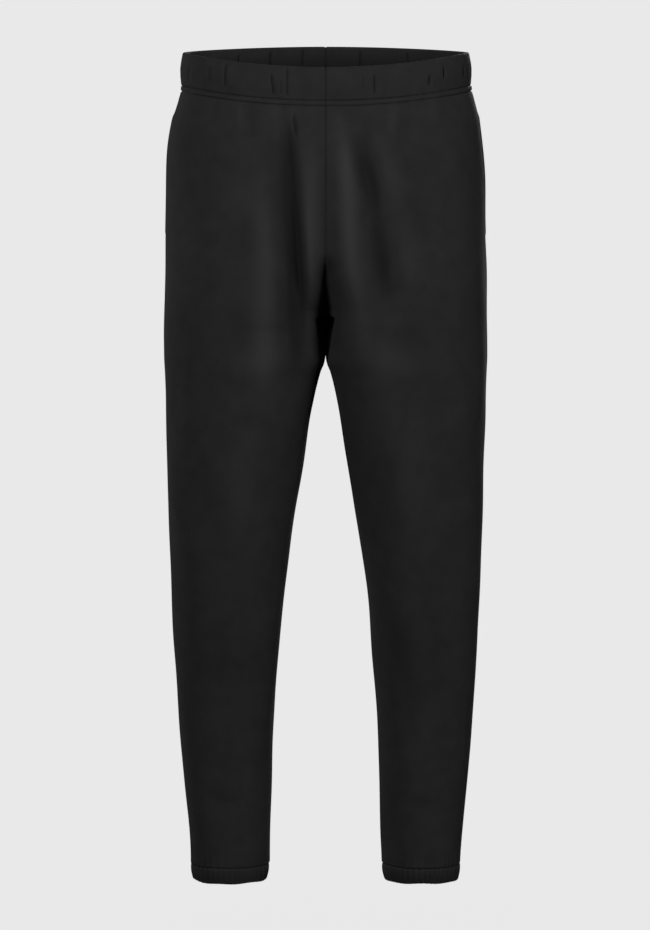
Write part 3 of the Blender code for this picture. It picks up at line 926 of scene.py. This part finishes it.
def band_surface(side):
    """Grid of a half: columns from centre front to centre back, rows round the outline."""
    table = lengths_round(0.0, -half_band, half_band)
    ends = np.interp((-half_band, half_band), *table)
    marks = [ends[1] - float(np.interp(math.radians((crease[2] + crease[3]) / 2), *table))
             for crease in BAND_CREASES if crease[0] == side]
    along = ends[1] - graded(ends[1] - ends[0], BAND_STEP, marks)
    angle = np.interp(along, table[1], table[0])
    rise, depth = band_rise[:, None], band_depth[:, None]
    share = rise / (BAND_TOP - WAIST_SEAM)
    level = WAIST_SEAM + rise + 0 * angle
    angle = angle + 0 * rise
    outer = depth < BAND_WALL / 2
    relief = BAND_SWELL * np.sin(np.pi * np.clip(share, 0, 1)) ** 0.7
    relief = relief + crease_relief(side, "outer", along, share, table)
    dice = np.random.default_rng({"left": 5, "right": 9}[side])
    stray = PUCKER_STRAY * np.sin(along / PUCKER_STRAY_LENGTH + dice.uniform(0, 6))
    pucker = np.sin(2 * np.pi * along / PUCKER_LENGTH + stray)
    change = 0.5 + 0.5 * np.sin(along / PUCKER_CHANGE_LENGTH + dice.uniform(0, 6))
    relief = relief + PUCKER * pucker * change * np.exp(-rise / PUCKER_REACH)
    lining = -crease_relief(side, "inner", along, share, table)
    from_end = np.minimum(along - ends[0], ends[1] - along)
    roll = SEAM_DEPTH * bell(from_end, SEAM_REACH)
    moved = np.where(outer, relief - roll, lining + roll)
    points = oval(angle, level)
    normal, _ = outward(angle, level)
    moved = unevenness(to_side(points, side)) * BAND_UNEVEN + moved - depth
    points = points + normal * moved[..., None]
    points[..., 2] -= np.where(share > BAND_ROLL_FROM, BAND_ROLL, 0) * roll
    points[..., 0] = np.maximum(points[..., 0], 0)
    return to_side(points, side)


def close_ends(rows, columns):
    """Quads between paired points of the first and the last column, which close the ends."""
    index = np.arange(rows * columns).reshape(rows, columns)
    caps = []
    for column, turn in ((0, 1), (columns - 1, -1)):
        ring = index[:, column]
        near, far = ring[:rows // 2], ring[::-1][:rows // 2]
        caps.append(np.stack((near[:-1], near[1:], far[1:], far[:-1]), axis=-1)[:, ::turn])
    return np.concatenate(caps)


INSIDE_SHADE, INSIDE_SHADE_FADE = -0.95, 0.026     # how dark the painted shade inside is, and how far below the fold it grows

for side in ("left", "right"):
    points = band_surface(side)
    faces = np.concatenate((grid_faces(*points.shape[:2], join_rows=True), close_ends(*points.shape[:2])))
    if side == "right":
        faces = faces[:, ::-1]
    flat = flat_places(points)
    flat[..., 1] = band_rise[:, None]
    band = mesh_object(f"waistband_half_{side}", points.reshape(-1, 3), faces, fleece, flat.reshape(-1, 2))
    # inside, painted shade darkens the lining, less so towards the fold
    from_fold = BAND_TOP - WAIST_SEAM - band_rise
    lining_shade = INSIDE_SHADE * soft_step(from_fold / INSIDE_SHADE_FADE) * (band_depth > BAND_WALL / 2)
    set_painted_light(band, np.repeat(lining_shade, points.shape[1]))
    pieces["waistband", side] = band
    print(band.name, points.shape[:2], f"{grid_area(points):.4f} m2 on both faces")

# %% [markdown]
# The ankle casing is gathered all round: more cloth than elastic, so it stands in small uneven
# pleats that lean both ways. Waves of several spacings, sharpened on their inner side, read as
# pleats rather than as a corrugated tube.

# %% Build the ankle casings
CASING_COLUMNS = 300
PLEAT, PLEAT_HEIGHT, PLEAT_CREASE = 0.0068, 0.00055, 0.0011
CASING_SWELL, LINING_SHARE, HEM_STRAY = 0.0009, 0.3, 0.0008


def casing_surface(side):
    """Grid of a whole ring: columns go round, and the last one meets the first."""
    table = lengths_round(ANKLE_SEAM)
    ends = table[1][[0, -1]]
    along = ends[1] - np.arange(CASING_COLUMNS) / CASING_COLUMNS * (ends[1] - ends[0])
    circle = 2 * np.pi * (along - ends[0]) / (ends[1] - ends[0])
    rise, depth = casing_rise[:, None], casing_depth[:, None]
    dice = np.random.default_rng({"left": 12, "right": 18}[side])
    share = rise / (ANKLE_SEAM - HEM)
    count = round((ends[1] - ends[0]) / PLEAT)
    p = dice.uniform(0, 2 * np.pi, 6)
    lean = (0.5 * np.sin(2 * circle + p[0]) * share + 0.9 * np.sin(3 * circle + p[1])
            + 0.5 * np.sin(7 * circle + p[2]))
    wave = np.sin(count * circle + lean)
    crease = -np.maximum(-wave, 0) ** 3
    change = 0.55 + 0.45 * np.sin(5 * circle + p[3]) * np.sin(2 * circle + p[4])
    fullest = 0.35 + 0.65 * np.sin(np.pi * np.clip(share * 0.85 + 0.08, 0, 1))
    relief = (PLEAT_HEIGHT * wave + PLEAT_CREASE * crease) * change * fullest
    relief = relief + CASING_SWELL * np.sin(np.pi * np.clip(share, 0, 1)) ** 0.8
    moved = np.where(depth < CASING_WALL / 2, relief, LINING_SHARE * relief)
    level = ANKLE_SEAM - rise + 0 * circle
    angle = np.interp(along, table[1], table[0]) + 0 * rise
    points = oval(angle, level)
    points = points + outward(angle, level)[0] * (moved - depth)[..., None]
    points[..., 2] += HEM_STRAY * (share * np.sin(2 * circle + p[5]) * np.sin(5 * circle))
    return to_side(points, side)


for side in ("left", "right"):
    points = casing_surface(side)
    closed = np.concatenate((points, points[:, :1]), axis=1)
    faces = grid_faces(*points.shape[:2], join_rows=True, join_columns=True)
    if side == "left":
        faces = faces[:, ::-1]
    flat = flat_places(closed)[:, :-1]
    flat[..., 1] = -casing_rise[:, None]
    casing = mesh_object(f"ankle_casing_band_{side}", points.reshape(-1, 3), faces, fleece,
                         flat.reshape(-1, 2))
    pieces["casing", side] = casing
    print(casing.name, points.shape[:2], f"{grid_area(closed):.4f} m2 on both faces")

# %% [markdown]
# ## Pocket facings
#
# The front panel's edge is hemmed and stands a few millimetres off the side seam, which is the
# mouth of the pocket. A strip of the same cloth lies behind it. It follows the leg's own ovals,
# deep enough to clear the rolled edges of the panels.

# %% Build the pocket facings
FACING_BOTTOM, FACING_WALL = -0.22, 0.0015
FACING_DEPTH = CLOTH + SEAM_DEPTH + 0.0006
FACING_FRONT, FACING_BACK = 0.045, 0.012

for side in ("left", "right"):
    level = np.linspace(WAIST_SEAM - 0.0003, FACING_BOTTOM, 70)[:, None]
    reach = np.linspace(FACING_FRONT, -FACING_BACK, 16)[None, :]
    level, angle = level + 0 * reach, reach / half_depth(level)
    base, (normal, _) = oval(angle, level), outward(angle, level)
    points = to_side(base + normal * (unevenness(to_side(base, side)) - FACING_DEPTH)[..., None], side)
    faces = grid_faces(*points.shape[:2])
    if side == "left":
        faces = faces[:, ::-1]
    facing = mesh_object(f"pocket_facing_strip_{side}", points.reshape(-1, 3), faces, fleece,
                         flat_places(points).reshape(-1, 2))
    wall = facing.modifiers.new("wall", "SOLIDIFY")
    wall.thickness, wall.offset = FACING_WALL, -1
    pieces["facing", side] = facing
    print(facing.name, f"{grid_area(points):.4f} m2 of cloth")

# %% [markdown]
# ## Thread
#
# Polyester sewing thread in the colour of the cloth. Each stitch is a small round-ended cylinder
# half sunk in its groove. All stitches of one row are copies of a template, placed with arrays and
# joined in one mesh, so a row of three hundred costs no more work than one.

# %% Polyester thread
thread, tree, shader = new_material("polyester sewing thread", {
    "Roughness": 0.6, "IOR": 1.55, "Specular IOR Level": 0.3})
strand = add_node(tree, "ShaderNodeTexNoise", {"Scale": 2500.0, "Detail": 1.0},
                  {"Vector": add_node(tree, "ShaderNodeTexCoord").outputs["Object"]})
twist = add_node(tree, "ShaderNodeMix", {"data_type": "RGBA", 6: linear("161617"), 7: linear("202021")},
                 {0: strand.outputs["Fac"]})
tree.links.new(twist.outputs[2], shader.inputs["Base Color"])

STITCH_RADIUS, STITCH_SIDES = 0.00022, 6
STITCH_PITCH, STITCH_LENGTH, FIRST_STITCH = 0.0030, 0.0022, 0.0005
STITCH_SHARES = np.array((0.0, 0.04, 0.2, 0.8, 0.96, 1.0))     # places of the rings along a stitch
STITCH_RADII = np.array((0.25, 0.75, 1.0, 1.0, 0.75, 0.25))    # and each ring's share of the radius
STITCH_SPREAD = 1.25                                           # a stitch is wider than it is high


def stitches(name, starts, ends, normals):
    """One mesh of round-ended cylinders from starts to ends, each lying on the cloth's normal."""
    run = ends - starts
    length = np.linalg.norm(run, axis=-1, keepdims=True)
    along = run / length
    across = np.cross(normals, along)
    across /= np.linalg.norm(across, axis=-1, keepdims=True)
    up = np.cross(along, across)
    turn = 2 * np.pi * np.arange(STITCH_SIDES) / STITCH_SIDES
    circle = (np.cos(turn)[:, None] * across[:, None, None, :] * STITCH_SPREAD
              + np.sin(turn)[:, None] * up[:, None, None, :])
    ring = STITCH_RADII[:, None, None] * STITCH_RADIUS * circle
    points = starts[:, None, None, :] + run[:, None, None, :] * STITCH_SHARES[:, None, None] + ring
    rings = len(STITCH_SHARES)
    last = (rings - 1) * STITCH_SIDES
    caps = np.array([[0, 3, 2, 1], [0, 5, 4, 3], [last, last + 1, last + 2, last + 3],
                     [last, last + 3, last + 4, last + 5]])
    one = np.concatenate((grid_faces(rings, STITCH_SIDES, join_columns=True), caps))
    faces = (one[None] + (np.arange(len(starts)) * rings * STITCH_SIDES)[:, None, None]).reshape(-1, 4)
    return mesh_object(name, points.reshape(-1, 3), faces, thread)


def row_of_stitches(name, face, side, angle, level):
    """Stitches at an even pitch along a line of (angle, level) places on one panel."""
    points, normals, _ = cloth(face, side, angle, level)
    passed = np.concatenate(([0.0], np.cumsum(np.linalg.norm(np.diff(points, axis=0), axis=1))))
    count = int((passed[-1] - STITCH_LENGTH) / STITCH_PITCH)
    heads = FIRST_STITCH + np.arange(count) * STITCH_PITCH

    def at(place, values):
        return np.stack([np.interp(place, passed, values[:, k]) for k in range(3)], axis=-1)

    return stitches(name, at(heads, points), at(heads + STITCH_LENGTH, points), at(heads, normals))


# %% Sew the rows
UPPER_ROW, ANKLE_ROW = 0.0019, 0.0030        # how far a row lies from its seam
MOUTH_ROW_SPARE = 0.002                      # the pocket's row stops this short of the mouth's ends

rows_of_thread = []
for side in ("left", "right"):
    for face, turn in (("front", 1), ("back", -1)):
        angle = turn * np.linspace(0.012, half_band - 0.008, 1200)
        for row, drop in (("upper", UPPER_ROW), ("lower", TOPSTITCH_DROP)):
            rows_of_thread.append(row_of_stitches(f"waist_stitches_{row}_{face}_{side}", face, side, angle,
                                                  np.full_like(angle, WAIST_SEAM - drop)))
        angle = turn * np.linspace(0.02, np.pi - 0.02, 900)
        rows_of_thread.append(row_of_stitches(f"ankle_stitches_{face}_{side}", face, side, angle,
                                              np.full_like(angle, ANKLE_SEAM + ANKLE_ROW)))
    level = np.linspace(MOUTH_TOP - MOUTH_ROW_SPARE, MOUTH_BOTTOM + MOUTH_ROW_SPARE, 600)
    angle = side_edge(level, "front") + MOUTH_HEM / half_depth(level)
    rows_of_thread.append(row_of_stitches(f"pocket_stitches_{side}", "front", side, angle, level))
print(len(rows_of_thread), "rows of thread")

# %% [markdown]
# ## Attach each piece
#
# Every piece moves with the one body and stands for its CAD node, which is hidden. The table also
# lists each kind's material slot, the flat size it is cut to, its area and how it is held.

SHEETS = {
    "front": ("front", "fleece", (0.30, 0.96), 0.228, "hung"),
    "back": ("back", "fleece", (0.30, 0.97), 0.231, "hung"),
    "waistband": ("waistband", "band", (0.44, 0.042), None, "gathered"),
    "casing": ("ankle_casing", "casing", (0.31, 0.022), None, "gathered"),
    "facing": ("pocket_facing", "facing", (0.058, 0.205), None, "hung"),
}
for (kind, side), piece in pieces.items():
    node, slot, flat, area, held = SHEETS[kind]
    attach(piece, "root")
    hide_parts(f"{node}_{side}")
for row in rows_of_thread:
    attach(row, "root")

# %% [markdown]
# ## Studio
#
# A plain pale floor, a pale surrounding and soft lights. The floor glows by as much light as it
# fails to return, so it reads as one even sheet right up to the horizon. The floor glows for the
# camera's own rays alone, because a floor that lit the cloth would turn the dark ankles grey, and
# the surrounding gives the cloth only a faint light. The lamps light nothing but the trousers. A
# small one hangs high in front and another behind, so that the light falls off down the legs, and
# two wider ones fill the shadows from the sides.

# %% Floor and surroundings
PALE = "e9e9e9"
FLOOR_RETURN = 0.35
WORLD_LIGHT = 0.06

paper, tree, shader = new_material("matt background paper", {
    "Base Color": (FLOOR_RETURN, FLOOR_RETURN, FLOOR_RETURN, 1), "Roughness": 1.0,
    "Specular IOR Level": 0.0, "Emission Color": (1, 1, 1, 1)})
pale = linear(PALE)[0]
seen = add_node(tree, "ShaderNodeLightPath").outputs["Is Camera Ray"]
glow = add_node(tree, "ShaderNodeMapRange", {"To Min": 0.0, "To Max": pale - FLOOR_RETURN * WORLD_LIGHT},
                {"Value": seen})
tree.links.new(glow.outputs["Result"], shader.inputs["Emission Strength"])

FLOOR_DROP, FLOOR_REACH = 0.075, 60.0
floor_mesh = bpy.data.meshes.new("studio_floor")
corners = ((-1, -1), (1, -1), (1, 1), (-1, 1))
floor_mesh.from_pydata([(x * FLOOR_REACH, y * FLOOR_REACH, HEM - FLOOR_DROP) for x, y in corners],
                       [], [(0, 1, 2, 3)])
floor_mesh.materials.append(paper)
floor = bpy.data.objects.new("studio_floor", floor_mesh)
bpy.context.scene.collection.objects.link(floor)

world = bpy.data.worlds.new("studio surround")
world.use_nodes = True
bpy.context.scene.world = world
tree = world.node_tree
background = tree.nodes["Background"]
seen = add_node(tree, "ShaderNodeLightPath").outputs["Is Camera Ray"]
strength = add_node(tree, "ShaderNodeMapRange", {"To Min": WORLD_LIGHT, "To Max": pale}, {"Value": seen})
background.inputs["Color"].default_value = (1, 1, 1, 1)
tree.links.new(strength.outputs["Result"], background.inputs["Strength"])

# %% Lights: place, what it is aimed at, size and power
LIGHTS = (
    ("key", (-0.85, -2.3, 0.85), (0, 0, -0.30), 0.6, 40),
    ("fill", (2.3, -1.5, 0.2), (0, 0, -0.40), 1.0, 26),
    ("back_key", (0.85, 2.3, 0.85), (0, 0, -0.30), 0.6, 40),
    ("back_fill", (-2.3, 1.9, 0.2), (0, 0, -0.40), 1.0, 15),
)
for name, place, target, size, power in LIGHTS:
    lamp = bpy.data.lights.new(name, "AREA")
    lamp.size, lamp.energy = size, power
    light = bpy.data.objects.new(name, lamp)
    away = np.subtract(place, target)
    tilt = math.acos(away[2] / np.linalg.norm(away))
    light.location = place
    light.rotation_euler = (tilt, 0, math.atan2(away[1], away[0]) + math.pi / 2)
    light.light_linking.receiver_collection = garment
    bpy.context.scene.collection.objects.link(light)

# %% Camera
LENS, SENSOR_WIDTH = 192.953, 36.0           # in mm: a long lens, so that the legs keep their proportions
CAMERA_PLACE, LOOK_DOWN = (-0.0007, -6.0, 0.06), 5.1038      # metres, degrees

eye = bpy.data.cameras.new("camera")
eye.lens, eye.sensor_width = LENS, SENSOR_WIDTH
camera = bpy.data.objects.new("camera", eye)
camera.location = CAMERA_PLACE
camera.rotation_euler = (math.radians(90 - LOOK_DOWN), 0, 0)
bpy.context.scene.collection.objects.link(camera)
bpy.context.scene.camera = camera
bpy.context.scene.view_settings.view_transform = "Standard"

# %% Update the view layer and finish
bpy.context.view_layer.update()
